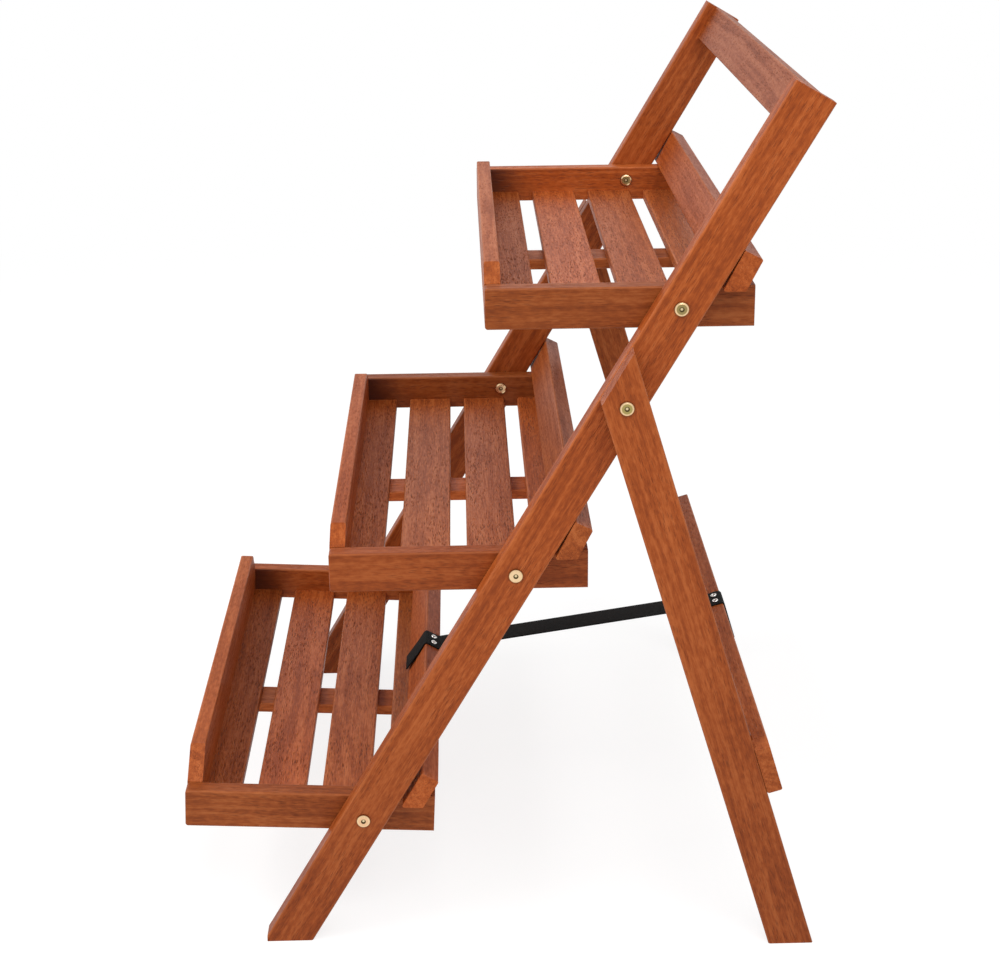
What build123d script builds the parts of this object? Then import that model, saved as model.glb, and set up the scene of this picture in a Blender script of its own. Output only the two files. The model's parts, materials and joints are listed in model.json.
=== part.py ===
from build123d import *
from math import cos, radians, sin, tan
import os

os.makedirs("parts", exist_ok=True)

# Whole stand, millimetres. X is the width, the trays face -Y and the floor is Z = 0.
overall_width = 700.0
leg_width = 45.0
leg_thickness = 22.0
edge_round = 2.0

# Front frame
front_lean = radians(30.4)
front_leg_length = 1042.0
toe_clip = 3.5
handle_height = 44.0
handle_thickness = 22.0
pivot_along = 696.0
first_tray_along = 166.0
tray_pitch = 318.0

# Rear frame
rear_lean = radians(16.7)
crossbar_down = 386.0
crossbar_height = 60.0
crossbar_thickness = 16.0
crossbar_corner_clip = 9.0

# Trays, measured from the bolt that each one turns on
side_thickness = 20.0
side_height = 41.5
side_end_round = 3.0
bolt_above_bottom = 25.0
bolt_from_front = 188.5
slat_count = 4
slat_width = 52.5
slat_gap = 17.5
slat_thickness = 12.0
tenon_shoulder = 8.0
tenon_thickness = 6.0
tenon_length = 8.0
front_board_thickness = 16.0
front_board_height = 45.0
lower_front_board_height = 60.0
front_corner_clip = 28.0
rear_board_thickness = 20.0
rear_board_height = 45.0
rear_board_lean = radians(27.0)
batten_width = 45.0
batten_thickness = 12.0
batten_inset = 6.0
lower_tray_lift = radians(2.8)

# Strap
strap_width = 40.0
strap_thickness = 1.8
strap_front_tail = 41.0
strap_rear_tail = 40.0
strap_kink_inset = 3.0

# Bolts, sleeves and washers
sleeve_radius = 4.0
sleeve_head_radius = 7.5
sleeve_head_thickness = 2.0
sleeve_short_of_face = 3.0
bolt_radius = 3.0
bolt_head_radius = 7.5
bolt_head_thickness = 2.0
head_bevel_width = 2.2
head_bevel_height = 0.9
bolt_length = 26.0
bore_past_bolt = 4.0
socket_radius = 2.6
socket_sides = 6
socket_depth = 1.4
washer_radius = 9.0
tray_washer_thickness = 1.5

# Dowels, screws and rivets
handle_dowel_radius = 4.0
handle_dowel_in_leg = 13.0
handle_dowel_in_bar = 24.0
handle_dowel_spacing = 22.0
front_dowel_radius = 3.0
front_dowel_in_side = 10.0
front_dowel_in_board = 18.0
front_dowel_from_edge = 8.5
front_dowel_spacing = 12.0
screw_radius = 2.0
screw_head_radius = 4.0
screw_head_depth = 2.4
batten_screw_length = 20.0
rear_screw_length = 58.0
rear_screw_from_outer = 7.0
rear_screw_from_edge = 15.5
crossbar_screw_length = 45.0
crossbar_screw_spacing = 34.0
rivet_radius = 1.5
rivet_head_radius = 3.8
rivet_head_thickness = 1.2
rivet_head_bevel = 0.6
rivet_eye_radius = 0.8
rivet_length = 12.0
rivet_spacing = 15.0

# Fits
running_fit = 0.06
snug_fit = 0.05
tenon_fit = 0.1
stop_fit = 0.2
fold_fit = 0.6

hands = ((-1, "left"), (1, "right"))

rear_leg_outer = overall_width / 2
rear_leg_inner = rear_leg_outer - leg_thickness
leg_washer_thickness = bolt_head_thickness + fold_fit
front_leg_outer = rear_leg_inner - leg_washer_thickness
front_leg_inner = front_leg_outer - leg_thickness
side_outer = front_leg_inner - tray_washer_thickness
side_inner = side_outer - side_thickness

tray_depth = slat_count * slat_width + (slat_count - 1) * slat_gap
tray_front = -bolt_from_front
tray_rear = tray_front + tray_depth
side_bottom = -bolt_above_bottom
side_top = side_bottom + side_height
slat_top = side_bottom + slat_thickness
rear_board_top = side_top + rear_board_height * cos(rear_board_lean)
leg_rear_face = leg_width / 2 / cos(front_lean)
rear_board_back = leg_rear_face + stop_fit + rear_board_top * tan(front_lean)
rear_board_foot = rear_board_back - rear_board_height * sin(rear_board_lean)
rear_board_foot_depth = rear_board_thickness / cos(rear_board_lean)

# The stand's depth runs from the lower tray's first slat to the rear feet, and Y = 0 is its middle.
pivot_height = pivot_along * cos(front_lean)
tray_front_reach = (tray_front + edge_round) * cos(lower_tray_lift) - edge_round
tray_front_drop = (side_bottom + edge_round) * sin(lower_tray_lift)
depth_front = first_tray_along * sin(front_lean) + tray_front_reach + tray_front_drop
depth_rear = pivot_along * sin(front_lean) + pivot_height * tan(rear_lean) + leg_width / 2 / cos(rear_lean)
front_foot_y = -(depth_front + depth_rear) / 2


def front_leg_point(along, across):
    y = front_foot_y + along * sin(front_lean) + across * cos(front_lean)
    z = along * cos(front_lean) - across * sin(front_lean)
    return (y, z)


def rear_leg_point(down, across):
    pivot_y, pivot_z = front_leg_point(pivot_along, 0)
    y = pivot_y + down * sin(rear_lean) + across * cos(rear_lean)
    z = pivot_z - down * cos(rear_lean) + across * sin(rear_lean)
    return (y, z)


def tray_plane(along, lift):
    y, z = front_leg_point(along, 0)
    return Plane(origin=(0, y, z), x_dir=(0, cos(lift), -sin(lift)), z_dir=(1, 0, 0))


def outward(hand, x, point):
    return Plane(origin=(hand * x, point[0], point[1]), x_dir=(0, 1, 0), z_dir=(hand, 0, 0))


def both_hands(x, points):
    return [outward(hand, x, point) for hand, hand_name in hands for point in points]


def upward(tray, x, back, up):
    return Plane(origin=tray.from_local_coords((back, up, x)), x_dir=(1, 0, 0), z_dir=tray.y_dir)


def save(builder, name):
    builder.part.label = name
    export_step(builder.part, f"parts/{name}.step")


def rods(places, radius, length, mode=Mode.ADD):
    with Locations(*places):
        Cylinder(radius, length, align=(Align.CENTER, Align.CENTER, Align.MIN), mode=mode)


def screw_holes(places, length):
    with Locations(*places):
        Cone(
            screw_head_radius + snug_fit,
            screw_radius + snug_fit,
            screw_head_depth + snug_fit,
            align=(Align.CENTER, Align.CENTER, Align.MIN),
            mode=Mode.SUBTRACT,
        )
    rods(places, screw_radius + snug_fit, length + snug_fit, Mode.SUBTRACT)


def screws(places, length):
    with Locations(*places):
        Cone(
            screw_head_radius,
            screw_radius,
            screw_head_depth,
            align=(Align.CENTER, Align.CENTER, Align.MIN),
        )
    rods(places, screw_radius, length)


trays = (
    ("lower", tray_plane(first_tray_along, lower_tray_lift), lower_front_board_height),
    ("middle", tray_plane(first_tray_along + tray_pitch, 0), front_board_height),
    ("upper", tray_plane(first_tray_along + 2 * tray_pitch, 0), front_board_height),
)
tray_bolt_points = [(tray.origin.Y, tray.origin.Z) for tray_name, tray, board_height in trays]
pivot_point = front_leg_point(pivot_along, 0)
front_leg_axis = Axis((0, 0, 0), (0, sin(front_lean), cos(front_lean)))
rear_leg_axis = Axis((0, 0, 0), (0, sin(rear_lean), -cos(rear_lean)))

# Front legs: level feet with the sharp toe cut upright, square tops
toe_y = front_foot_y - leg_rear_face + toe_clip
front_leg_outline = (
    (toe_y, 0),
    (front_foot_y + leg_rear_face, 0),
    front_leg_point(front_leg_length, leg_width / 2),
    front_leg_point(front_leg_length, -leg_width / 2),
    (toe_y, toe_clip / tan(front_lean)),
)
handle_low = front_leg_length - handle_height
handle_middle = front_leg_length - handle_height / 2
handle_dowel_points = (
    front_leg_point(handle_middle - handle_dowel_spacing / 2, 0),
    front_leg_point(handle_middle + handle_dowel_spacing / 2, 0),
)

for hand, hand_name in hands:
    with BuildPart() as front_leg:
        with BuildSketch(Plane.YZ.offset(hand * front_leg_inner)):
            Polygon(*front_leg_outline, align=None)
        extrude(amount=hand * leg_thickness)
        fillet(front_leg.edges().filter_by(front_leg_axis), radius=edge_round)
        bores = [outward(hand, front_leg_inner, point) for point in tray_bolt_points]
        bores.append(outward(hand, front_leg_inner, pivot_point))
        rods(bores, sleeve_radius + running_fit, leg_thickness, Mode.SUBTRACT)
        seat = outward(hand, front_leg_inner, pivot_point)
        rods([seat], sleeve_head_radius + snug_fit, sleeve_head_thickness, Mode.SUBTRACT)
        sockets = [outward(hand, front_leg_inner, point) for point in handle_dowel_points]
        rods(sockets, handle_dowel_radius + snug_fit, handle_dowel_in_leg + snug_fit, Mode.SUBTRACT)
    save(front_leg, f"front_leg_{hand_name}")

# Top crossbar, which is also the handle
handle_outline = (
    front_leg_point(handle_low, -handle_thickness / 2),
    front_leg_point(handle_low, handle_thickness / 2),
    front_leg_point(front_leg_length, handle_thickness / 2),
    front_leg_point(front_leg_length, -handle_thickness / 2),
)
handle_dowel_places = both_hands(front_leg_inner - handle_dowel_in_bar, handle_dowel_points)
with BuildPart() as top_crossbar:
    with BuildSketch(Plane.YZ.offset(-front_leg_inner)):
        Polygon(*handle_outline, align=None)
    extrude(amount=2 * front_leg_inner)
    fillet(top_crossbar.edges().filter_by(Axis.X), radius=edge_round)
    rods(handle_dowel_places, handle_dowel_radius + snug_fit, handle_dowel_in_bar, Mode.SUBTRACT)
save(top_crossbar, "top_crossbar")

with BuildPart() as handle_dowels:
    rods(handle_dowel_places, handle_dowel_radius, handle_dowel_in_bar + handle_dowel_in_leg)
save(handle_dowels, "handle_dowels")


# Bolts screw into sleeve nuts. The sleeves are the pins that the trays and the rear legs turn on.
def hex_sockets(places):
    for place in places:
        with BuildSketch(place) as socket:
            RegularPolygon(socket_radius, socket_sides)
        extrude(socket.sketch, amount=-socket_depth, mode=Mode.SUBTRACT)


def bevelled_heads(places, radius, thickness):
    rods(places, radius, thickness - head_bevel_height)
    with Locations(*[place.offset(thickness - head_bevel_height) for place in places]):
        Cone(
            radius,
            radius - head_bevel_width,
            head_bevel_height,
            align=(Align.CENTER, Align.CENTER, Align.MIN),
        )
    hex_sockets([place.offset(thickness) for place in places])


def sleeve_nuts(places, length):
    rods(places, sleeve_radius, length)
    bore_start = length + sleeve_short_of_face - bolt_length - bore_past_bolt
    bore_places = [place.offset(bore_start) for place in places]
    rods(bore_places, bolt_radius + snug_fit, bolt_length + bore_past_bolt, Mode.SUBTRACT)
    head_places = [Plane(place.origin, x_dir=place.x_dir, z_dir=-place.z_dir) for place in places]
    bevelled_heads(head_places, sleeve_head_radius, sleeve_head_thickness)


def bolts(places):
    rods([place.offset(-bolt_length) for place in places], bolt_radius, bolt_length)
    bevelled_heads(places, bolt_head_radius, bolt_head_thickness)


tray_sleeve_places = both_hands(side_inner, tray_bolt_points)
tray_washer_places = both_hands(side_outer, tray_bolt_points)
tray_bolt_places = both_hands(front_leg_outer, tray_bolt_points)
leg_sleeve_seat = front_leg_inner + sleeve_head_thickness
leg_sleeve_places = both_hands(leg_sleeve_seat, [pivot_point])
leg_washer_places = both_hands(front_leg_outer, [pivot_point])
leg_bolt_places = both_hands(rear_leg_outer, [pivot_point])

with BuildPart() as tray_pivot_sleeves:
    sleeve_nuts(tray_sleeve_places, front_leg_outer - side_inner - sleeve_short_of_face)
save(tray_pivot_sleeves, "tray_pivot_sleeves")

with BuildPart() as tray_pivot_bolts:
    bolts(tray_bolt_places)
save(tray_pivot_bolts, "tray_pivot_bolts")

with BuildPart() as leg_pivot_sleeves:
    sleeve_nuts(leg_sleeve_places, rear_leg_outer - leg_sleeve_seat - sleeve_short_of_face)
save(leg_pivot_sleeves, "leg_pivot_sleeves")

with BuildPart() as leg_pivot_bolts:
    bolts(leg_bolt_places)
save(leg_pivot_bolts, "leg_pivot_bolts")

with BuildPart() as tray_washers:
    rods(tray_washer_places, washer_radius, tray_washer_thickness)
    rods(tray_washer_places, sleeve_radius + running_fit, tray_washer_thickness, Mode.SUBTRACT)
save(tray_washers, "tray_washers")

with BuildPart() as leg_washers:
    rods(leg_washer_places, washer_radius, leg_washer_thickness)
    rods(leg_washer_places, sleeve_radius + running_fit, leg_washer_thickness, Mode.SUBTRACT)
save(leg_washers, "leg_washers")

# Rear legs: the top end lies along the front leg's front face, the foot is level
open_angle = front_lean + rear_lean


def rear_leg_top(across):
    return (-leg_width / 2 - across * cos(open_angle)) / sin(open_angle)


def rear_leg_foot(across):
    return (pivot_height + across * sin(rear_lean)) / cos(rear_lean)


rear_leg_outline = (
    rear_leg_point(rear_leg_top(-leg_width / 2), -leg_width / 2),
    rear_leg_point(rear_leg_foot(-leg_width / 2), -leg_width / 2),
    rear_leg_point(rear_leg_foot(leg_width / 2), leg_width / 2),
    rear_leg_point(rear_leg_top(leg_width / 2), leg_width / 2),
)
crossbar_front = leg_width / 2
crossbar_back = crossbar_front + crossbar_thickness
crossbar_low = crossbar_down + crossbar_height
crossbar_middle = crossbar_down + crossbar_height / 2
into_rear_leg = (0, -cos(rear_lean), -sin(rear_lean))
crossbar_screw_x = rear_leg_outer - leg_thickness / 2
crossbar_screw_places = [
    Plane(
        origin=(hand * crossbar_screw_x, *rear_leg_point(crossbar_middle + step, crossbar_back)),
        x_dir=(1, 0, 0),
        z_dir=into_rear_leg,
    )
    for hand, hand_name in hands
    for step in (-crossbar_screw_spacing / 2, crossbar_screw_spacing / 2)
]

for hand, hand_name in hands:
    with BuildPart() as rear_leg:
        with BuildSketch(Plane.YZ.offset(hand * rear_leg_inner)):
            Polygon(*rear_leg_outline, align=None)
        extrude(amount=hand * leg_thickness)
        fillet(rear_leg.edges().filter_by(rear_leg_axis), radius=edge_round)
        rods(
            [outward(hand, rear_leg_inner, pivot_point)],
            sleeve_radius + running_fit,
            leg_thickness,
            Mode.SUBTRACT,
        )
        screw_holes(crossbar_screw_places, crossbar_screw_length)
    save(rear_leg, f"rear_leg_{hand_name}")

crossbar_outline = (
    (-rear_leg_outer, crossbar_low),
    (rear_leg_outer, crossbar_low),
    (rear_leg_outer, crossbar_down + crossbar_corner_clip),
    (rear_leg_outer - crossbar_corner_clip, crossbar_down),
    (crossbar_corner_clip - rear_leg_outer, crossbar_down),
    (-rear_leg_outer, crossbar_down + crossbar_corner_clip),
)
up_rear_leg = (0, -sin(rear_lean), cos(rear_lean))
rear_rivet_across = crossbar_front + crossbar_thickness / 2
rear_rivet_places = [
    Plane(
        origin=(hand * rivet_spacing / 2, *rear_leg_point(crossbar_down, rear_rivet_across)),
        x_dir=(1, 0, 0),
        z_dir=up_rear_leg,
    )
    for hand, hand_name in hands
]
with BuildPart() as rear_crossbar:
    crossbar_face = Plane(
        origin=(0, *rear_leg_point(0, crossbar_front)),
        x_dir=(1, 0, 0),
        z_dir=(0, cos(rear_lean), sin(rear_lean)),
    )
    with BuildSketch(crossbar_face):
        Polygon(*crossbar_outline, align=None)
    extrude(amount=crossbar_thickness)
    fillet(rear_crossbar.edges().filter_by(Axis.X), radius=edge_round)
    screw_holes(crossbar_screw_places, crossbar_screw_length)
    for place in rear_rivet_places:
        rods([place.offset(-rivet_length)], rivet_radius + snug_fit, rivet_length, Mode.SUBTRACT)
save(rear_crossbar, "rear_crossbar")

with BuildPart() as crossbar_screws:
    screws(crossbar_screw_places, crossbar_screw_length)
save(crossbar_screws, "crossbar_screws")

# Trays
slat_fronts = [tray_front + number * (slat_width + slat_gap) for number in range(slat_count)]
slat_middles = [front + slat_width / 2 for front in slat_fronts]
tenon_middle = slat_top - slat_thickness / 2
tenon_width = slat_width - 2 * tenon_shoulder
batten_bottom = side_bottom - batten_thickness
batten_length = tray_depth - 2 * batten_inset
front_dowel_back = tray_front + front_board_thickness / 2
front_dowel_low = slat_top + front_dowel_from_edge
rear_screw_back = rear_board_foot + rear_screw_from_edge
rear_screw_x = side_outer - rear_screw_from_outer
rear_board_end = front_leg_outer
rear_board_slope = (sin(rear_board_lean), cos(rear_board_lean))
rear_board_square = (cos(rear_board_lean), -sin(rear_board_lean))
rear_board_outline = (
    (rear_board_foot, side_top),
    (rear_board_foot + rear_board_foot_depth, side_top),
    (
        rear_board_back + rear_board_thickness * rear_board_square[0],
        rear_board_top + rear_board_thickness * rear_board_square[1],
    ),
    (rear_board_back, rear_board_top),
)
lower_tray = trays[0][1]
rivet_seat = (
    rear_board_back + rear_board_thickness / 2 * rear_board_square[0],
    rear_board_top + rear_board_thickness / 2 * rear_board_square[1],
)
lower_board_up = lower_tray.x_dir * rear_board_slope[0] + lower_tray.y_dir * rear_board_slope[1]
front_rivet_places = [
    Plane(
        origin=lower_tray.from_local_coords((*rivet_seat, hand * rivet_spacing / 2)),
        x_dir=(1, 0, 0),
        z_dir=lower_board_up,
    )
    for hand, hand_name in hands
]

for tray_name, tray, board_height in trays:
    back_axis = Axis((0, 0, 0), tray.x_dir)
    front_board_outline = (
        (-side_inner, slat_top),
        (side_inner, slat_top),
        (side_inner, side_top),
        (side_inner - front_corner_clip, slat_top + board_height),
        (front_corner_clip - side_inner, slat_top + board_height),
        (-side_inner, side_top),
    )
    front_dowel_places = [
        Plane(
            origin=tray.from_local_coords((front_dowel_back, up, hand * (side_inner - front_dowel_in_board))),
            x_dir=tray.x_dir,
            z_dir=(hand, 0, 0),
        )
        for hand, hand_name in hands
        for up in (front_dowel_low, front_dowel_low + front_dowel_spacing)
    ]
    rear_screw_places = [
        upward(tray, hand * rear_screw_x, rear_screw_back, side_bottom) for hand, hand_name in hands
    ]
    batten_screw_places = [upward(tray, 0, middle, batten_bottom) for middle in slat_middles]

    for hand, hand_name in hands:
        with BuildPart() as side:
            with BuildSketch(tray.offset(hand * side_inner)) as side_outline:
                with Locations((tray_front + tray_depth / 2, side_bottom + side_height / 2)):
                    Rectangle(tray_depth, side_height)
                fillet(side_outline.vertices().group_by(Axis.X)[0], radius=side_end_round)
            extrude(amount=hand * side_thickness)
            fillet(side.edges().filter_by(back_axis), radius=edge_round)
            bolt_bore = outward(hand, side_inner, (tray.origin.Y, tray.origin.Z))
            rods([bolt_bore], sleeve_radius + running_fit, side_thickness, Mode.SUBTRACT)
            with BuildSketch(tray.offset(hand * side_inner)):
                with Locations(*[(middle, tenon_middle) for middle in slat_middles]):
                    Rectangle(tenon_width + 2 * tenon_fit, tenon_thickness + 2 * tenon_fit)
            extrude(amount=hand * (tenon_length + tenon_fit), mode=Mode.SUBTRACT)
            front_dowel_whole = front_dowel_in_board + front_dowel_in_side + snug_fit
            rods(front_dowel_places, front_dowel_radius + snug_fit, front_dowel_whole, Mode.SUBTRACT)
            screw_holes(rear_screw_places, rear_screw_length)
        save(side, f"{tray_name}_side_{hand_name}")

    for number, middle in enumerate(slat_middles, start=1):
        with BuildPart() as slat:
            with BuildSketch(tray.offset(-side_inner)):
                with Locations((middle, tenon_middle)):
                    Rectangle(slat_width, slat_thickness)
            extrude(amount=2 * side_inner)
            fillet(slat.edges().filter_by(Axis.X), radius=edge_round)
            with BuildSketch(tray.offset(-side_inner - tenon_length)):
                with Locations((middle, tenon_middle)):
                    Rectangle(tenon_width, tenon_thickness)
            extrude(amount=2 * (side_inner + tenon_length))
            screw_holes(batten_screw_places, batten_screw_length)
        save(slat, f"{tray_name}_slat_{number}")

    with BuildPart() as front_board:
        board_face = Plane(
            origin=tray.from_local_coords((tray_front, 0, 0)),
            x_dir=(1, 0, 0),
            z_dir=-tray.x_dir,
        )
        with BuildSketch(board_face):
            Polygon(*front_board_outline, align=None)
        extrude(amount=-front_board_thickness)
        fillet(front_board.edges().filter_by(Axis.X).sort_by(Axis.Z)[-2:], radius=edge_round)
        rods(front_dowel_places, front_dowel_radius + snug_fit, front_dowel_in_board, Mode.SUBTRACT)
    save(front_board, f"{tray_name}_front_board")

    with BuildPart() as front_board_dowels:
        rods(front_dowel_places, front_dowel_radius, front_dowel_in_board + front_dowel_in_side)
    save(front_board_dowels, f"{tray_name}_front_board_dowels")

    with BuildPart() as rear_board:
        with BuildSketch(tray.offset(-rear_board_end)):
            Polygon(*rear_board_outline, align=None)
        extrude(amount=2 * rear_board_end)
        fillet(rear_board.edges().filter_by(Axis.X), radius=edge_round)
        screw_holes(rear_screw_places, rear_screw_length)
        if tray_name == "lower":
            for place in front_rivet_places:
                rods([place.offset(-rivet_length)], rivet_radius + snug_fit, rivet_length, Mode.SUBTRACT)
    save(rear_board, f"{tray_name}_rear_board")

    with BuildPart() as rear_board_screws:
        screws(rear_screw_places, rear_screw_length)
    save(rear_board_screws, f"{tray_name}_rear_board_screws")

    with BuildPart() as centre_batten:
        with BuildSketch(tray.offset(-batten_width / 2)):
            with Locations((tray_front + tray_depth / 2, batten_bottom + batten_thickness / 2)):
                Rectangle(batten_length, batten_thickness)
        extrude(amount=batten_width)
        fillet(centre_batten.edges().filter_by(back_axis), radius=edge_round)
        screw_holes(batten_screw_places, batten_screw_length)
    save(centre_batten, f"{tray_name}_centre_batten")

    with BuildPart() as batten_screws:
        screws(batten_screw_places, batten_screw_length)
    save(batten_screws, f"{tray_name}_batten_screws")


# Strap: from the lower rear board's face over its top edge, across to the crossbar and down its back
def lower_tray_point(back, up):
    point = lower_tray.from_local_coords((back, up, 0))
    return (point.Y, point.Z)


strap_on_top = rear_board_thickness - strap_kink_inset
strap_route = (
    lower_tray_point(
        rear_board_back - strap_front_tail * rear_board_slope[0],
        rear_board_top - strap_front_tail * rear_board_slope[1],
    ),
    lower_tray_point(rear_board_back, rear_board_top),
    lower_tray_point(
        rear_board_back + strap_on_top * rear_board_square[0],
        rear_board_top + strap_on_top * rear_board_square[1],
    ),
    rear_leg_point(crossbar_down, crossbar_front),
    rear_leg_point(crossbar_down, crossbar_back),
    rear_leg_point(crossbar_down + strap_rear_tail, crossbar_back),
)
with BuildPart() as limit_strap:
    with BuildSketch(Plane.YZ.offset(-strap_width / 2)):
        with BuildLine():
            Polyline(*strap_route)
            offset(amount=strap_thickness, side=Side.LEFT, closed=True)
        make_face()
    extrude(amount=strap_width)
    for place in (*front_rivet_places, *rear_rivet_places):
        rods([place], rivet_radius + snug_fit, 2 * strap_thickness, Mode.SUBTRACT)
save(limit_strap, "limit_strap")


def rivets(builder, places):
    rods([place.offset(-rivet_length) for place in places], rivet_radius, rivet_length + strap_thickness)
    rods([place.offset(strap_thickness) for place in places], rivet_head_radius, rivet_head_thickness)
    rims = [edge for edge in builder.edges().filter_by(GeomType.CIRCLE) if edge.radius > rivet_radius]
    chamfer(ShapeList(rims).sort_by(Axis.Z)[-len(places):], length=rivet_head_bevel)
    rods(places, rivet_eye_radius, strap_thickness + rivet_head_thickness, Mode.SUBTRACT)


with BuildPart() as front_strap_rivets:
    rivets(front_strap_rivets, front_rivet_places)
save(front_strap_rivets, "front_strap_rivets")

with BuildPart() as rear_strap_rivets:
    rivets(rear_strap_rivets, rear_rivet_places)
save(rear_strap_rivets, "rear_strap_rivets")
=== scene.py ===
import bpy
import json
import math
from mathutils import Matrix, Vector


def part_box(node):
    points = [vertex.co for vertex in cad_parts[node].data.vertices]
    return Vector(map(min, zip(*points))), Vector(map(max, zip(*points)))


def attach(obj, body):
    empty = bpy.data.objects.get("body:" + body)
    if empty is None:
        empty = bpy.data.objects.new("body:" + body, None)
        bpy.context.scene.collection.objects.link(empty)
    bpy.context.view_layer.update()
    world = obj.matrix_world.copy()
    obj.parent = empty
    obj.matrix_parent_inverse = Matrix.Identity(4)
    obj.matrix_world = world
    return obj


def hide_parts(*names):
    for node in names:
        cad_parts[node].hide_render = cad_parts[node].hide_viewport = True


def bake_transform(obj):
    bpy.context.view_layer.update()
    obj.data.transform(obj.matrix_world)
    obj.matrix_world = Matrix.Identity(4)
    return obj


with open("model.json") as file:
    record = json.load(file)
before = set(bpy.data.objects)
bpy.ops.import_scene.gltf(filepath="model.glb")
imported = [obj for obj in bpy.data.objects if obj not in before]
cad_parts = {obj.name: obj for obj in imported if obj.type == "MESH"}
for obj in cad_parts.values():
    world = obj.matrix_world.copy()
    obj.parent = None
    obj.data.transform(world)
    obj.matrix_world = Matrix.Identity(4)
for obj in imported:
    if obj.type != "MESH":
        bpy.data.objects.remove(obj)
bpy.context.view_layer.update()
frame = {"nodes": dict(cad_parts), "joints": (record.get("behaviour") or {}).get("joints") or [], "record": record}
nodes = frame["nodes"]
scene = bpy.context.scene
slotOf = {part["node"]: part["material_slot"] for part in frame["record"]["subparts"]}
jointAt = {joint["child"]: Vector(joint["pos_m"]) for joint in frame["joints"]}


# node helpers, used by the materials and groups below
def addNode(tree, kind, **settings):
    node = tree.nodes.new(kind)
    for key, value in settings.items():
        setattr(node, key, value)
    return node


def feed(tree, socket, value):
    if hasattr(value, "is_output"):
        tree.links.new(value, socket)
    else:
        socket.default_value = value


def calc(tree, operation, first, second=0.0, third=0.0):
    node = addNode(tree, "ShaderNodeMath", operation=operation)
    for socket, value in zip(node.inputs, (first, second, third)):
        feed(tree, socket, value)
    return node.outputs[0]


def vectorCalc(tree, operation, first, second=(0.0, 0.0, 0.0)):
    node = addNode(tree, "ShaderNodeVectorMath", operation=operation)
    feed(tree, node.inputs[0], first)
    feed(tree, node.inputs[1], second)
    return node.outputs["Value" if operation == "LENGTH" else "Vector"]


def axesOf(tree, vector):
    node = addNode(tree, "ShaderNodeSeparateXYZ")
    feed(tree, node.inputs[0], vector)
    return node.outputs


def vectorOf(tree, x=0.0, y=0.0, z=0.0):
    node = addNode(tree, "ShaderNodeCombineXYZ")
    for socket, value in zip(node.inputs, (x, y, z)):
        feed(tree, socket, value)
    return node.outputs[0]


def objectPlace(tree):
    return addNode(tree, "ShaderNodeTexCoord").outputs["Object"]


def noise(tree, vector, scale, detail, rough):
    node = addNode(tree, "ShaderNodeTexNoise")
    feed(tree, node.inputs["Vector"], vector)
    for label, number in (("Scale", scale), ("Detail", detail), ("Roughness", rough)):
        node.inputs[label].default_value = number
    return node.outputs["Fac"]


def spread(tree, value, low, high, outLow=0.0, outHigh=1.0):
    node = addNode(tree, "ShaderNodeMapRange", interpolation_type="SMOOTHSTEP")
    feed(tree, node.inputs["Value"], value)
    for label, number in (("From Min", low), ("From Max", high), ("To Min", outLow), ("To Max", outHigh)):
        feed(tree, node.inputs[label], number)
    return node.outputs["Result"]


def mixColor(tree, factor, first, second, blendType="MIX"):
    node = addNode(tree, "ShaderNodeMix", data_type="RGBA", blend_type=blendType)
    feed(tree, node.inputs["Factor"], factor)
    for label, value in (("A", first), ("B", second)):
        color = [socket for socket in node.inputs if socket.name == label and socket.type == "RGBA"][0]
        feed(tree, color, value)
    return [socket for socket in node.outputs if socket.type == "RGBA"][0]


def rgba(color, gain=1.0):
    return (color[0] * gain, color[1] * gain, color[2] * gain, 1.0)


def newGroup(name, inputs, outputs):
    group = bpy.data.node_groups.new(name, "ShaderNodeTree")
    for label, kind, default in inputs:
        socket = group.interface.new_socket(label, in_out="INPUT", socket_type=kind)
        socket.default_value = default
    for label in outputs:
        group.interface.new_socket(label, in_out="OUTPUT", socket_type="NodeSocketFloat")
    return group, group.nodes.new("NodeGroupInput"), group.nodes.new("NodeGroupOutput")


def placeGroup(tree, group, values):
    node = addNode(tree, "ShaderNodeGroup", node_tree=group)
    for label, value in values.items():
        feed(tree, node.inputs[label], value)
    return node.outputs


def newMaterial(name):
    material = bpy.data.materials.new(name)
    material.use_nodes = True
    tree = material.node_tree
    return material, tree, tree.nodes["Principled BSDF"]


def bump(tree, shader, height, distance, strength):
    node = addNode(tree, "ShaderNodeBump")
    node.inputs["Strength"].default_value = strength
    node.inputs["Distance"].default_value = distance
    feed(tree, node.inputs["Height"], height)
    tree.links.new(node.outputs["Normal"], shader.inputs["Normal"])


def dress(name, material):
    mesh = nodes[name].data
    mesh.materials.clear()
    mesh.materials.append(material)


# geometry node helpers, used by the screws, the rivets and the strap
def newShaper(name, sizes, material, turns=()):
    tree = bpy.data.node_groups.new(name, "GeometryNodeTree")
    tree.interface.new_socket("Geometry", in_out="INPUT", socket_type="NodeSocketGeometry")
    tree.interface.new_socket("Geometry", in_out="OUTPUT", socket_type="NodeSocketGeometry")
    inputs = [(label, "NodeSocketFloat") for label in sizes]
    inputs += [(label, "NodeSocketVector") for label in turns]
    inputs.append((material, "NodeSocketMaterial"))
    keys = {}
    for label, kind in inputs:
        keys[label] = tree.interface.new_socket(label, in_out="INPUT", socket_type=kind).identifier
    return tree, keys, tree.nodes.new("NodeGroupInput"), tree.nodes.new("NodeGroupOutput")


def chain(tree, source, *steps):
    for node, label in steps:
        tree.links.new(source, node.inputs[label])
        source = node.outputs[0]
    return source


def rotation(tree, angles):
    return chain(tree, angles, (addNode(tree, "FunctionNodeEulerToRotation"), 0))


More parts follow.
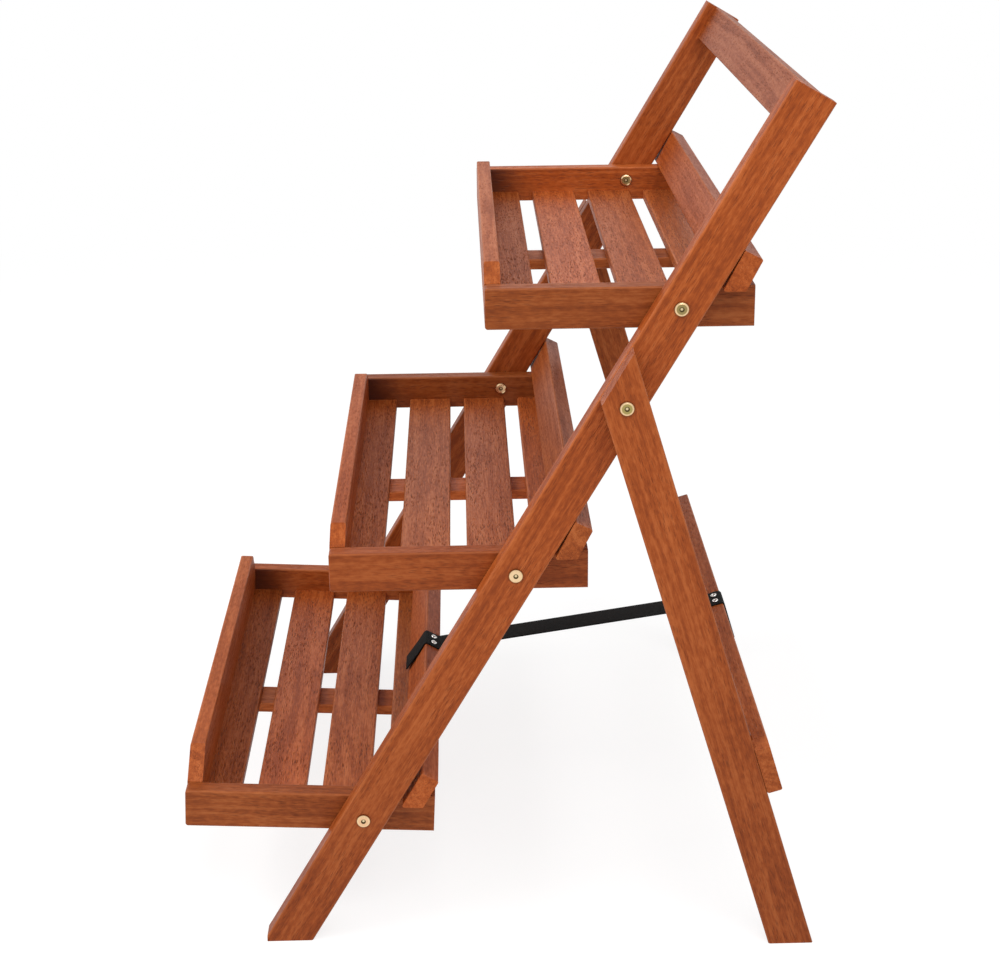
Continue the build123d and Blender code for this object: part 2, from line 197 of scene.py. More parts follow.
def onPoints(tree, points, piece, turn):
    drop = addNode(tree, "GeometryNodeInstanceOnPoints")
    for label, value in (("Points", points), ("Instance", piece), ("Rotation", turn)):
        tree.links.new(value, drop.inputs[label])
    return drop.outputs[0]


def finishShaper(tree, geometry, material, leave):
    realize = addNode(tree, "GeometryNodeRealizeInstances")
    paint = addNode(tree, "GeometryNodeSetMaterial")
    tree.links.new(material, paint.inputs["Material"])
    done = chain(tree, geometry, (realize, "Geometry"), (paint, "Geometry"))
    tree.links.new(done, leave.inputs["Geometry"])


def shape(name, points, edges, shaper, values):
    tree, keys = shaper
    mesh = bpy.data.meshes.new(name + "Guide")
    mesh.from_pydata(points, edges, [])
    guide = bpy.data.objects.new(name + "Guide", mesh)
    scene.collection.objects.link(guide)
    modifier = guide.modifiers.new(tree.name, "NODES")
    modifier.node_group = tree
    for label, value in values.items():
        modifier[keys[label]] = value
    ready = guide.evaluated_get(bpy.context.evaluated_depsgraph_get())
    piece = bpy.data.objects.new(name, bpy.data.meshes.new_from_object(ready))
    piece.data.name = name
    scene.collection.objects.link(piece)
    bpy.data.objects.remove(guide)
    return piece


# grain of the oiled hardwood: x runs along the fibres, layers give features per metre, detail and roughness
grainLook = {
    "seedShift": (1.73, 0.61, 0.37),
    "heartSide": 0.55,
    "ringDensity": 150.0,
    "ringSway": 7.0,
    "ringDetail": 1.5,
    "ringWeight": 0.19,
    "layers": {
        "sway": ((1.6, 7.0, 7.0), 2.0, 0.5),
        "streak": ((4.0, 170.0, 170.0), 3.0, 0.6),
        "fibre": ((34.0, 900.0, 900.0), 2.0, 0.65),
        "patch": ((9.0, 30.0, 30.0), 3.0, 0.6),
        "fleck": ((120.0, 330.0, 330.0), 2.0, 0.5),
        "thread": ((48.0, 720.0, 720.0), 2.0, 0.6),
        "crowd": ((11.0, 60.0, 60.0), 2.0, 0.5),
    },
    "weights": {"streak": 0.26, "fibre": 0.22, "patch": 0.26, "fleck": 0.27},
    "threadMiddle": 0.5,
    "toneRange": (0.44, 0.76),
    "poreScale": (70.0, 760.0, 760.0),
    "poreRange": (0.10, 0.42),
    "crowdRange": (0.28, 0.60),
    "heights": {"streak": 0.20, "fibre": 0.40},
    "poreDepth": 0.7,
}


def makeGrain():
    tree, enter, leave = newGroup(
        "boardGrain",
        [
            ("Vector", "NodeSocketVector", (0, 0, 0)),
            ("Seed", "NodeSocketFloat", 0.0),
            ("Heart", "NodeSocketFloat", 0.12),
            ("Thread", "NodeSocketFloat", 0.0),
        ],
        ["Tone", "Pores", "Height"],
    )
    seed = enter.outputs["Seed"]
    heart = enter.outputs["Heart"]
    shift = vectorOf(tree, *[calc(tree, "MULTIPLY", seed, factor) for factor in grainLook["seedShift"]])
    place = vectorCalc(tree, "ADD", enter.outputs["Vector"], shift)
    layers = {}
    for name, (scale, detail, rough) in grainLook["layers"].items():
        layers[name] = noise(tree, vectorCalc(tree, "MULTIPLY", place, scale), 1.0, detail, rough)

    split = axesOf(tree, enter.outputs["Vector"])
    side = calc(tree, "MULTIPLY_ADD", heart, grainLook["heartSide"], split["Y"])
    rise = calc(tree, "ADD", split["Z"], heart)
    ring = calc(tree, "SQRT", calc(tree, "MULTIPLY_ADD", side, side, calc(tree, "MULTIPLY", rise, rise)))
    ringStep = calc(tree, "MULTIPLY_ADD", layers["sway"], grainLook["ringSway"], seed)
    ringStep = calc(tree, "MULTIPLY_ADD", ring, grainLook["ringDensity"], ringStep)
    ringNoise = addNode(tree, "ShaderNodeTexNoise", noise_dimensions="1D")
    feed(tree, ringNoise.inputs["W"], ringStep)
    ringNoise.inputs["Scale"].default_value = 1.0
    ringNoise.inputs["Detail"].default_value = grainLook["ringDetail"]

    tone = calc(tree, "MULTIPLY", ringNoise.outputs["Fac"], grainLook["ringWeight"])
    for name, weight in grainLook["weights"].items():
        tone = calc(tree, "MULTIPLY_ADD", layers[name], weight, tone)
    threads = calc(tree, "SUBTRACT", layers["thread"], grainLook["threadMiddle"])
    tone = calc(tree, "MULTIPLY_ADD", threads, enter.outputs["Thread"], tone)
    feed(tree, leave.inputs["Tone"], spread(tree, tone, *grainLook["toneRange"]))

    cells = addNode(tree, "ShaderNodeTexVoronoi", feature="F1")
    feed(tree, cells.inputs["Vector"], vectorCalc(tree, "MULTIPLY", place, grainLook["poreScale"]))
    cells.inputs["Scale"].default_value = 1.0
    dash = spread(tree, cells.outputs["Distance"], *grainLook["poreRange"], 1.0, 0.0)
    crowd = spread(tree, layers["crowd"], *grainLook["crowdRange"])
    pores = calc(tree, "MULTIPLY", dash, crowd)
    feed(tree, leave.inputs["Pores"], pores)
    height = calc(tree, "MULTIPLY", pores, -grainLook["poreDepth"])
    for name, weight in grainLook["heights"].items():
        height = calc(tree, "MULTIPLY_ADD", layers[name], weight, height)
    feed(tree, leave.inputs["Height"], height)
    return tree


# paler wear and painted highlight along a board's four long edges, with a ragged border
edgeLook = {"raggedScale": (60.0, 400.0, 400.0), "raggedDetail": 2.0, "raggedRough": 0.5, "leastReach": 0.5}


def makeEdgeWearAndHighlight():
    tree, enter, leave = newGroup(
        "boardEdgeWearAndHighlight",
        [
            ("Vector", "NodeSocketVector", (0, 0, 0)),
            ("Half Across", "NodeSocketFloat", 0.02),
            ("Half Deep", "NodeSocketFloat", 0.01),
            ("Reach", "NodeSocketFloat", 0.003),
        ],
        ["Wear"],
    )
    split = axesOf(tree, enter.outputs["Vector"])
    across = calc(tree, "SUBTRACT", enter.outputs["Half Across"], calc(tree, "ABSOLUTE", split["Y"]))
    deep = calc(tree, "SUBTRACT", enter.outputs["Half Deep"], calc(tree, "ABSOLUTE", split["Z"]))
    away = calc(tree, "MAXIMUM", across, deep)
    fine = vectorCalc(tree, "MULTIPLY", enter.outputs["Vector"], edgeLook["raggedScale"])
    ragged = noise(tree, fine, 1.0, edgeLook["raggedDetail"], edgeLook["raggedRough"])
    share = calc(tree, "ADD", ragged, edgeLook["leastReach"])
    reach = calc(tree, "MULTIPLY", enter.outputs["Reach"], share)
    feed(tree, leave.inputs["Wear"], spread(tree, away, 0.0, reach, 1.0, 0.0))
    return tree


boardGrain = makeGrain()
boardEdgeWearAndHighlight = makeEdgeWearAndHighlight()
print("groups: grain and edge wear")

# oiled hardwood boards: lengths in metres, leans in degrees
wood = {
    "dark": (0.232, 0.045, 0.008),
    "body": (0.345, 0.074, 0.013),
    "light": (0.455, 0.118, 0.028),
    "pore": (0.105, 0.022, 0.007),
    "edge": (0.470, 0.140, 0.045),
    "shade": {  # darker and paler boards, multiplied where several fit: painted shade on the first slats, the middle tray's far side and the upper batten, painted light on the middle and lower battens
        "slat_1": 0.80,
        "middle_side_left": 0.68,
        "side_right": 0.92,
        "lower_side_right": 0.83,
        "middle_side_right": 0.91,
        "upper_side_right": 0.92,
        "top_crossbar": 0.80,
        "leg": 0.93,
        "rear_leg": 0.96,
        "upper_centre_batten": 0.85,
        "middle_centre_batten": 1.15,
        "lower_centre_batten": 1.20,
    },
    "gainSwing": 0.08,
    "gainStep": 2.399,
    "warmSwing": 0.05,
    "warmStep": 1.713,
    "warmStart": 0.6,
    "seedStep": 1.37,
    "hearts": (0.07, 0.12, 0.17, 0.22),
    "footShade": 0.80,
    "footReach": 0.55,
    "gloss": {"slat_1": 0.11, "slat": 0.27, "top_crossbar": 0.14, "": 0.16},
    "relief": {"slat": 0.0018, "": 0.0006},
    "reliefStrength": 0.5,
    "thread": {"slat": 0.36, "leg": 0.10, "": 0.0},
    "corner": (0.050, 0.012, 0.008),  # painted shade beside the front board, on the inner face of a side
    "cornerReach": 0.058,
    "cornerStrength": 0.86,
    "cornerFace": (0.85, 0.97),  # where the inner face starts and is full, as shares of the half thickness
    "edgeReach": 0.0028,
    "edgeStrength": 0.5,
    "poreStrength": {"slat": 1.0, "leg": 0.55, "": 0.62},
    "rough": 0.50,
    "toneRough": -0.10,
    "poreRough": 0.20,
    "frontLean": 30.4,
    "rearLean": 16.7,
    "boardLean": 27.0,
    "trayLift": {"lower": 2.8, "middle": 0.0, "upper": 0.0},
    "boardFoot": (0.0595, 0.0566),  # rear board's upper front corner, back and up from the bolt
    "halves": {  # half sizes across and deep
        "leg": (0.011, 0.0225),
        "side": (0.010, 0.02075),
        "batten": (0.0225, 0.006),
        "slat": (0.02625, 0.006),
        "lower_front_board": (0.008, 0.030),
        "front_board": (0.008, 0.0225),
        "rear_board": (0.010, 0.0225),
        "top_crossbar": (0.011, 0.022),
        "rear_crossbar": (0.008, 0.030),
    },
}


def tilt(angle):
    return Matrix.Rotation(angle, 3, "X")


# centre, turn and half sizes of one board, from its name and the hinge that carries it
def boardPlace(name):
    low, high = (Vector(corner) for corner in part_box(name))
    centre = (low + high) / 2
    kind = [key for key in wood["halves"] if key in name][0]
    tray = name.split("_")[0]
    lift = math.radians(wood["trayLift"].get(tray, 0.0))
    alongDepth = Matrix.Rotation(math.pi / 2, 3, "Z")
    if kind == "leg" and name.startswith("front"):
        turn = tilt(math.radians(90.0 - wood["frontLean"])) @ alongDepth
        centre = Vector((centre.x, *jointAt["middle_tray"].yz))
    elif kind == "leg":
        turn = tilt(math.radians(90.0 + wood["rearLean"])) @ alongDepth
        centre = Vector((centre.x, *jointAt["rear_frame"].yz))
    elif kind in ("side", "batten"):
        turn = tilt(-lift) @ alongDepth
    elif kind == "rear_board":
        lean = math.radians(wood["boardLean"])
        halfDeep, halfHigh = wood["halves"][kind]
        back = wood["boardFoot"][0] + halfDeep * math.cos(lean) - halfHigh * math.sin(lean)
        up = wood["boardFoot"][1] - halfDeep * math.sin(lean) - halfHigh * math.cos(lean)
        centre = jointAt[tray + "_tray"] + tilt(-lift) @ Vector((0, back, up))
        turn = tilt(-lift - lean)
    elif kind == "top_crossbar":
        turn = tilt(-math.radians(wood["frontLean"]))
    elif kind == "rear_crossbar":
        turn = tilt(math.radians(wood["rearLean"]))
    else:
        turn = tilt(-lift)
    return centre, turn.to_euler("XYZ"), wood["halves"][kind]


# a table's first entry whose key is in the board's name
def firstFor(table, name):
    return [value for key, value in table.items() if key in name][0]


# painted shade mask on a tray side's inner face, fading back from the front board
def paintedCornerShade(tree, name, place, centre, half):
    split = axesOf(tree, place)
    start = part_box(name.split("_")[0] + "_front_board")[1][1] - centre.y
    inward = -1.0 if name.endswith("left") else 1.0
    near = spread(tree, split["X"], start, start + wood["cornerReach"], wood["cornerStrength"], 0.0)
    faceEnds = [half[0] * share for share in wood["cornerFace"]]
    inner = spread(tree, calc(tree, "MULTIPLY", split["Y"], inward), *faceEnds)
    return calc(tree, "MULTIPLY", near, inner)


# seeds and tints differ from board to board, as they do in sawn stock, and the shade table adds painted shade and
# painted light to some boards
def boardMaterial(name, number):
    centre, turn, half = boardPlace(name)
    gain = 1.0 + wood["gainSwing"] * math.sin(number * wood["gainStep"])
    for key, shade in wood["shade"].items():
        gain *= shade if key in name else 1.0
    warm = 1.0 + wood["warmSwing"] * math.sin(number * wood["warmStep"] + wood["warmStart"])
    material, tree, shader = newMaterial("hardwood_" + name)
    place = objectPlace(tree)
    mapping = addNode(tree, "ShaderNodeMapping", vector_type="TEXTURE")
    tree.links.new(place, mapping.inputs["Vector"])
    mapping.inputs["Location"].default_value = centre
    mapping.inputs["Rotation"].default_value = turn
    local = mapping.outputs[0]
    grain = placeGroup(tree, boardGrain, {
        "Vector": local,
        "Seed": number * wood["seedStep"],
        "Heart": wood["hearts"][number % len(wood["hearts"])],
        "Thread": firstFor(wood["thread"], name),
    })
    edge = placeGroup(tree, boardEdgeWearAndHighlight, {
        "Vector": local,
        "Half Across": half[0],
        "Half Deep": half[1],
        "Reach": wood["edgeReach"],
    })

    ramp = addNode(tree, "ShaderNodeValToRGB")
    ramp.color_ramp.elements.new(0.5)
    for element, key in zip(ramp.color_ramp.elements, ("dark", "body", "light")):
        red, green, blue = wood[key]
        element.color = (red * gain * warm, green * gain, blue * gain / warm, 1.0)
    tree.links.new(grain["Tone"], ramp.inputs["Fac"])
    poreMix = calc(tree, "MULTIPLY", grain["Pores"], firstFor(wood["poreStrength"], name))
    color = mixColor(tree, poreMix, ramp.outputs["Color"], rgba(wood["pore"], gain))
    # paler wear and painted highlight on the long edges
    edgeMix = calc(tree, "MULTIPLY", edge["Wear"], wood["edgeStrength"])
    color = mixColor(tree, edgeMix, color, rgba(wood["edge"], gain))
    # legs darker towards the feet: painted shade
    if "leg" in name:
        height = axesOf(tree, place)["Z"]
        grey = spread(tree, height, 0.0, wood["footReach"], wood["footShade"], 1.0)
        color = mixColor(tree, 1.0, color, grey, "MULTIPLY")
    # painted shade in the front corner of each tray side's inner face
    if "_side_" in name:
        stain = paintedCornerShade(tree, name, local, centre, half)
        color = mixColor(tree, stain, color, rgba(wood["corner"]))
    tree.links.new(color, shader.inputs["Base Color"])
    rough = calc(tree, "MULTIPLY_ADD", grain["Tone"], wood["toneRough"], wood["rough"])
    rough = calc(tree, "MULTIPLY_ADD", grain["Pores"], wood["poreRough"], rough)
    tree.links.new(rough, shader.inputs["Roughness"])
    shader.inputs["Specular IOR Level"].default_value = firstFor(wood["gloss"], name)
    bump(tree, shader, grain["Height"], firstFor(wood["relief"], name), wood["reliefStrength"])
    return material


boards = [name for name in nodes if slotOf[name] == "hardwood"]
for number, name in enumerate(sorted(boards)):
    dress(name, boardMaterial(name, number))
print("hardwood:", len(boards), "boards")


# distance from an axis through a place, with left and right folded together
def makeAxisDistance():
    tree, enter, leave = newGroup(
        "axisDistance",
        [
            ("Vector", "NodeSocketVector", (0, 0, 0)),
            ("Place", "NodeSocketVector", (0, 0, 0)),
            ("Axis", "NodeSocketVector", (1, 0, 0)),
        ],
        ["Distance"],
    )
    split = axesOf(tree, enter.outputs["Vector"])
    folded = vectorOf(tree, calc(tree, "ABSOLUTE", split["X"]), split["Y"], split["Z"])
    away = vectorCalc(tree, "SUBTRACT", folded, enter.outputs["Place"])
    across = vectorCalc(tree, "CROSS_PRODUCT", away, enter.outputs["Axis"])
    tree.links.new(vectorCalc(tree, "LENGTH", across), leave.inputs["Distance"])
    return tree


def distanceFrom(tree, vector, place, axis):
    return placeGroup(tree, axisDistance, {"Vector": vector, "Place": place, "Axis": axis})["Distance"]


axisDistance = makeAxisDistance()

# plated brass bolts and sleeve nuts: a dark line of painted shade round the rim, bright bevel, a socket darkened
# with painted shade round a bright floor
brass = {
    "rim": (0.20, 0.060, 0.018),
    "bevel": (0.84, 0.60, 0.35),
    "socket": (0.13, 0.095, 0.040),
    "floor": (0.76, 0.61, 0.36),
    "stain": (0.50, 0.36, 0.17),
    "faces": {  # painted reflection: the upper heads are painted duller than the lower ones
        "lower_tray": (0.78, 0.49, 0.28),
        "middle_tray": (0.81, 0.58, 0.34),
        "upper_tray": (0.33, 0.25, 0.10),
        "rear_frame": (0.39, 0.31, 0.11),
    },
    "headReach": 0.02,
    "rimRadius": 0.0067,
    "faceRadius": 0.0052,
    "socketRadius": 0.0026,
    "floorRadius": 0.0012,
    "blur": 0.0004,
    "axis": (1.0, 0.0, 0.0),
    "axes": {
        "tray_pivot_bolts": ("lower_tray", "middle_tray", "upper_tray"),
        "tray_pivot_sleeves": ("lower_tray", "middle_tray", "upper_tray"),
        "leg_pivot_bolts": ("rear_frame",),
        "leg_pivot_sleeves": ("rear_frame",),
    },
    "stainNoise": (900.0, 3.0, 0.6),  # scale, detail and roughness
    "stainRange": (0.48, 0.80),
    "rough": 0.16,
    "stainRough": 0.22,
    "relief": 0.0001,
    "reliefStrength": 0.4,
}


def brassMaterial(name):
    material, tree, shader = newMaterial("brass_" + name)
    place = objectPlace(tree)
    bodies = brass["axes"][name]
    distances = [distanceFrom(tree, place, jointAt[body], brass["axis"]) for body in bodies]
    radius = distances[0]
    face = rgba(brass["faces"][bodies[0]])
    for body, distance in zip(bodies[1:], distances[1:]):
        radius = calc(tree, "MINIMUM", radius, distance)
        near = calc(tree, "LESS_THAN", distance, brass["headReach"])
        face = mixColor(tree, near, face, rgba(brass["faces"][body]))
    stain = noise(tree, place, *brass["stainNoise"])
    stained = spread(tree, stain, *brass["stainRange"])
    rings = {
        "rimRadius": mixColor(tree, stained, rgba(brass["bevel"]), rgba(brass["stain"])),
        "faceRadius": face,
        "socketRadius": rgba(brass["socket"]),
        "floorRadius": rgba(brass["floor"]),
    }
    # outside the rim radius and inside the socket ring the colour is painted shade
    color = rgba(brass["rim"])
    for edge, inner in rings.items():
        inside = spread(tree, radius, brass[edge] - brass["blur"], brass[edge] + brass["blur"], 1.0, 0.0)
        color = mixColor(tree, inside, color, inner)
    tree.links.new(color, shader.inputs["Base Color"])
    rough = calc(tree, "MULTIPLY_ADD", stain, brass["stainRough"], brass["rough"])
    tree.links.new(rough, shader.inputs["Roughness"])
    shader.inputs["Metallic"].default_value = 1.0
    bump(tree, shader, stain, brass["relief"], brass["reliefStrength"])
    return material


for name in brass["axes"]:
    dress(name, brassMaterial(name))

# zinc plated washers and screws, bright rivets
plate = {
    "looks": {
        "washer": {"color": (0.58, 0.56, 0.50), "stain": (0.40, 0.38, 0.32), "rough": 0.24},
        "screw": {"color": (0.62, 0.58, 0.46), "stain": (0.42, 0.38, 0.27), "rough": 0.20},
        "rivet": {"color": (0.88, 0.87, 0.84), "stain": (0.66, 0.65, 0.62), "rough": 0.14},
    },
    "stainNoise": (700.0, 3.0, 0.6),  # scale, detail and roughness
    "stainRange": (0.42, 0.72),
    "stainRough": 0.20,
    "relief": 0.0001,
    "reliefStrength": 0.3,
}


def platedMaterial(slot):
    look = plate["looks"][slot]
    material, tree, shader = newMaterial(slot + "Plating")
    stain = noise(tree, objectPlace(tree), *plate["stainNoise"])
    stained = spread(tree, stain, *plate["stainRange"])
    color = mixColor(tree, stained, rgba(look["color"]), rgba(look["stain"]))
    tree.links.new(color, shader.inputs["Base Color"])
    rough = calc(tree, "MULTIPLY_ADD", stain, plate["stainRough"], look["rough"])
    tree.links.new(rough, shader.inputs["Roughness"])
    shader.inputs["Metallic"].default_value = 1.0
    bump(tree, shader, stain, plate["relief"], plate["reliefStrength"])
    return material


# beech dowels
dowel = {
    "dark": (0.44, 0.27, 0.14),
    "light": (0.62, 0.42, 0.24),
    "seed": 3.3,
    "heart": 0.05,
    "rough": 0.5,
    "toneRough": 0.1,
    "relief": 0.0003,
    "reliefStrength": 0.5,
}


def dowelMaterial():
    material, tree, shader = newMaterial("beechDowel")
    values = {"Vector": objectPlace(tree), "Seed": dowel["seed"], "Heart": dowel["heart"]}
    grain = placeGroup(tree, boardGrain, values)
    color = mixColor(tree, grain["Tone"], rgba(dowel["dark"]), rgba(dowel["light"]))
    tree.links.new(color, shader.inputs["Base Color"])
    rough = calc(tree, "MULTIPLY_ADD", grain["Tone"], dowel["toneRough"], dowel["rough"])
    tree.links.new(rough, shader.inputs["Roughness"])
    bump(tree, shader, grain["Height"], dowel["relief"], dowel["reliefStrength"])
    return material


plating = {slot: platedMaterial(slot) for slot in plate["looks"]}
beechDowel = dowelMaterial()
for name, slot in slotOf.items():
    if slot in plating:
        dress(name, plating[slot])
    elif slot == "dowel":
        dress(name, beechDowel)
print("fittings: brass, plating and dowels")

# countersunk screws with a cross recess, flush with the crossbar, the battens and the tray sides
screw = {
    "headRadius": 0.0039,
    "headDepth": 0.0023,
    "headSides": 24,
    "footShare": 0.5,
    "recessLong": 0.0046,
    "recessWide": 0.0011,
    "recessDeep": 0.0028,
    "recessShares": (1.0, 0.9),  # uneven floors keep the cut clean
    "spinSeed": 5,
    "spinMost": 1.5,
    "crossbarDown": (0.399, 0.433),  # along the rear leg from its pivot
    "crossbarBack": 0.0385,
    "crossbarX": 0.339,
    "slatMiddles": (-0.16225, -0.09225, -0.02225, 0.04775),  # back from the tray bolt
    "battenUnder": -0.037,
    "sideUnder": -0.025,
    "rearBoardBack": 0.05456,
    "rearBoardX": 0.2949,
}


# a different turn about its own axis for each screw
def randomSpin(tree):
    spin = addNode(tree, "FunctionNodeRandomValue", data_type="FLOAT")
    spin.inputs["Seed"].default_value = screw["spinSeed"]
    ends = [socket for socket in spin.inputs if socket.name in ("Min", "Max") and socket.type == "VALUE"]
    for socket, angle in zip(ends, (0.0, screw["spinMost"])):
        socket.default_value = angle
    angle = [socket for socket in spin.outputs if socket.type == "VALUE"][0]
    return rotation(tree, vectorOf(tree, z=angle))


def makeScrewShaper():
    sizes = ("Head Radius", "Head Depth", "Recess Long", "Recess Wide", "Recess Deep")
    tree, keys, enter, leave = newShaper("screwRow", sizes, "Plating", ["Turn"])
    cone = addNode(tree, "GeometryNodeMeshCone")
    cone.inputs["Vertices"].default_value = screw["headSides"]
    tree.links.new(enter.outputs["Head Radius"], cone.inputs["Radius Top"])
    foot = calc(tree, "MULTIPLY", enter.outputs["Head Radius"], screw["footShare"])
    tree.links.new(foot, cone.inputs["Radius Bottom"])
    tree.links.new(enter.outputs["Head Depth"], cone.inputs["Depth"])
    lower = addNode(tree, "GeometryNodeTransform")
    sink = vectorOf(tree, z=calc(tree, "MULTIPLY", enter.outputs["Head Depth"], -1.0))
    tree.links.new(sink, lower.inputs["Translation"])
    head = chain(tree, cone.outputs["Mesh"], (lower, "Geometry"))

    bars = addNode(tree, "GeometryNodeMeshBoolean", operation="UNION")
    firstDeep, secondDeep = (
        calc(tree, "MULTIPLY", enter.outputs["Recess Deep"], share) for share in screw["recessShares"]
    )
    recessLong = enter.outputs["Recess Long"]
    recessWide = enter.outputs["Recess Wide"]
    for size in ((recessLong, recessWide, firstDeep), (recessWide, recessLong, secondDeep)):
        bar = addNode(tree, "GeometryNodeMeshCube")
        tree.links.new(vectorOf(tree, *size), bar.inputs["Size"])
        tree.links.new(bar.outputs["Mesh"], bars.inputs["Mesh 2"])
    cut = addNode(tree, "GeometryNodeMeshBoolean", operation="DIFFERENCE")
    tree.links.new(head, cut.inputs["Mesh 1"])
    tree.links.new(bars.outputs["Mesh"], cut.inputs["Mesh 2"])

    both = addNode(tree, "FunctionNodeRotateRotation", rotation_space="LOCAL")
    tree.links.new(rotation(tree, enter.outputs["Turn"]), both.inputs[0])
    tree.links.new(randomSpin(tree), both.inputs[1])
    row = onPoints(tree, enter.outputs["Geometry"], cut.outputs["Mesh"], both.outputs[0])
    finishShaper(tree, row, enter.outputs["Plating"], leave)
    return tree, keys


def screwRow(name, body, points, turn, *hidden):
    values = {
        "Head Radius": screw["headRadius"],
        "Head Depth": screw["headDepth"],
        "Recess Long": screw["recessLong"],
        "Recess Wide": screw["recessWide"],
        "Recess Deep": screw["recessDeep"],
        "Turn": (turn, 0.0, 0.0),
        "Plating": plating["screw"],
    }
    piece = shape(name, points, [], screwShaper, values)
    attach(piece, body)
    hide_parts(*hidden)


def addScrews():
    lean = math.radians(wood["rearLean"])
    pivot = jointAt["rear_frame"]
    points = []
    for x in (-screw["crossbarX"], screw["crossbarX"]):
        for down in screw["crossbarDown"]:
            y = pivot.y + down * math.sin(lean) + screw["crossbarBack"] * math.cos(lean)
            z = pivot.z - down * math.cos(lean) + screw["crossbarBack"] * math.sin(lean)
            points.append((x, y, z))
    screwRow("crossbarScrewHeads", "rear_frame", points, lean - math.pi / 2, "crossbar_screws")
    places = [(0.0, back, screw["battenUnder"]) for back in screw["slatMiddles"]]
    for x in (-screw["rearBoardX"], screw["rearBoardX"]):
        places.append((x, screw["rearBoardBack"], screw["sideUnder"]))
    for tray, degrees in wood["trayLift"].items():
        lift = math.radians(degrees)
        turned = [jointAt[tray + "_tray"] + tilt(-lift) @ Vector(place) for place in places]
        hidden = (tray + "_batten_screws", tray + "_rear_board_screws")
        screwRow(tray + "TrayScrewHeads", tray + "_tray", turned, math.pi - lift, *hidden)


screwShaper = makeScrewShaper()
addScrews()
print("screws: crossbar, battens and rear boards")

# hollow rivets through the strap: a rolled rim round a dark eye of painted shade
rivet = {
    "ringRadius": 0.0026,
    "ringSides": 28,
    "rimRadius": 0.0012,
    "rimSides": 10,
    "flatten": 0.9,
    "cupRadius": 0.0018,
    "cupDepth": 0.0002,
    "cupSides": 20,
    "headHeight": 0.0012,
    "eyeShade": (0.035, 0.033, 0.030),
    "eyeRadius": 0.0017,
    "eyeFull": 0.8,  # share of the radius that is fully dark
    "heads": {  # body, solid that is replaced, and the way the head faces
        "frontRivetHeads": ("lower_tray", "front_strap_rivets", (0.0, 0.497, 0.868)),
        "rearRivetHeads": ("rear_frame", "rear_strap_rivets", (0.0, -0.287, 0.958)),
    },
}


def makeRivetShaper():
    sizes = ("Ring Radius", "Rim Radius", "Flatten", "Cup Radius", "Cup Depth")
    tree, keys, enter, leave = newShaper("rivetPair", sizes, "Metal", ["Turn"])
    rim = addNode(tree, "GeometryNodeCurveToMesh")
    for label, sides, use in (
        ("Ring Radius", rivet["ringSides"], "Curve"),
        ("Rim Radius", rivet["rimSides"], "Profile Curve"),
    ):
        circle = addNode(tree, "GeometryNodeCurvePrimitiveCircle", mode="RADIUS")
        circle.inputs["Resolution"].default_value = sides
        tree.links.new(enter.outputs[label], circle.inputs["Radius"])
        tree.links.new(circle.outputs["Curve"], rim.inputs[use])
    flat = addNode(tree, "GeometryNodeTransform")
    tree.links.new(vectorOf(tree, 1.0, 1.0, enter.outputs["Flatten"]), flat.inputs["Scale"])
    cup = addNode(tree, "GeometryNodeMeshCylinder")
    cup.inputs["Vertices"].default_value = rivet["cupSides"]
    tree.links.new(enter.outputs["Cup Radius"], cup.inputs["Radius"])
    tree.links.new(enter.outputs["Cup Depth"], cup.inputs["Depth"])
    join = addNode(tree, "GeometryNodeJoinGeometry")
    tree.links.new(chain(tree, rim.outputs[0], (flat, "Geometry")), join.inputs[0])
    tree.links.new(cup.outputs["Mesh"], join.inputs[0])
    turn = rotation(tree, enter.outputs["Turn"])
    pair = onPoints(tree, enter.outputs["Geometry"], join.outputs[0], turn)
    finishShaper(tree, pair, enter.outputs["Metal"], leave)
    return tree, keys


def rivetMaterial(name, place, axis):
    material = platedMaterial("rivet")
    material.name = name
    tree = material.node_tree
    shader = tree.nodes["Principled BSDF"]
    metal = shader.inputs["Base Color"].links[0].from_socket
    away = distanceFrom(tree, objectPlace(tree), place, axis)
    # painted shade in the rivet's hollow eye
    eyeShade = spread(tree, away, rivet["eyeRadius"] * rivet["eyeFull"], rivet["eyeRadius"], 1.0, 0.0)
    tree.links.new(mixColor(tree, eyeShade, metal, rgba(rivet["eyeShade"])), shader.inputs["Base Color"])
    return material


def addRivets():
    for name, (body, hidden, lean) in rivet["heads"].items():
        axis = Vector(lean)
        solid = [vertex.co for vertex in nodes[hidden].data.vertices if vertex.co.x > 0.0]
        middle = sum(solid, Vector()) / len(solid)
        top = max((point - middle).dot(axis) for point in solid)
        seat = middle + axis * (top - rivet["headHeight"])
        values = {
            "Ring Radius": rivet["ringRadius"],
            "Rim Radius": rivet["rimRadius"],
            "Flatten": rivet["flatten"],
            "Cup Radius": rivet["cupRadius"],
            "Cup Depth": rivet["cupDepth"],
            "Turn": (-math.asin(axis.y), 0.0, 0.0),
            "Metal": rivetMaterial(name, seat, axis),
        }
        points = [seat, Vector((-seat.x, seat.y, seat.z))]
        piece = shape(name, points, [], rivetShaper, values)
        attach(piece, body)
        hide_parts(hidden)


rivetShaper = makeRivetShaper()
addRivets()
print("rivets: two pairs")

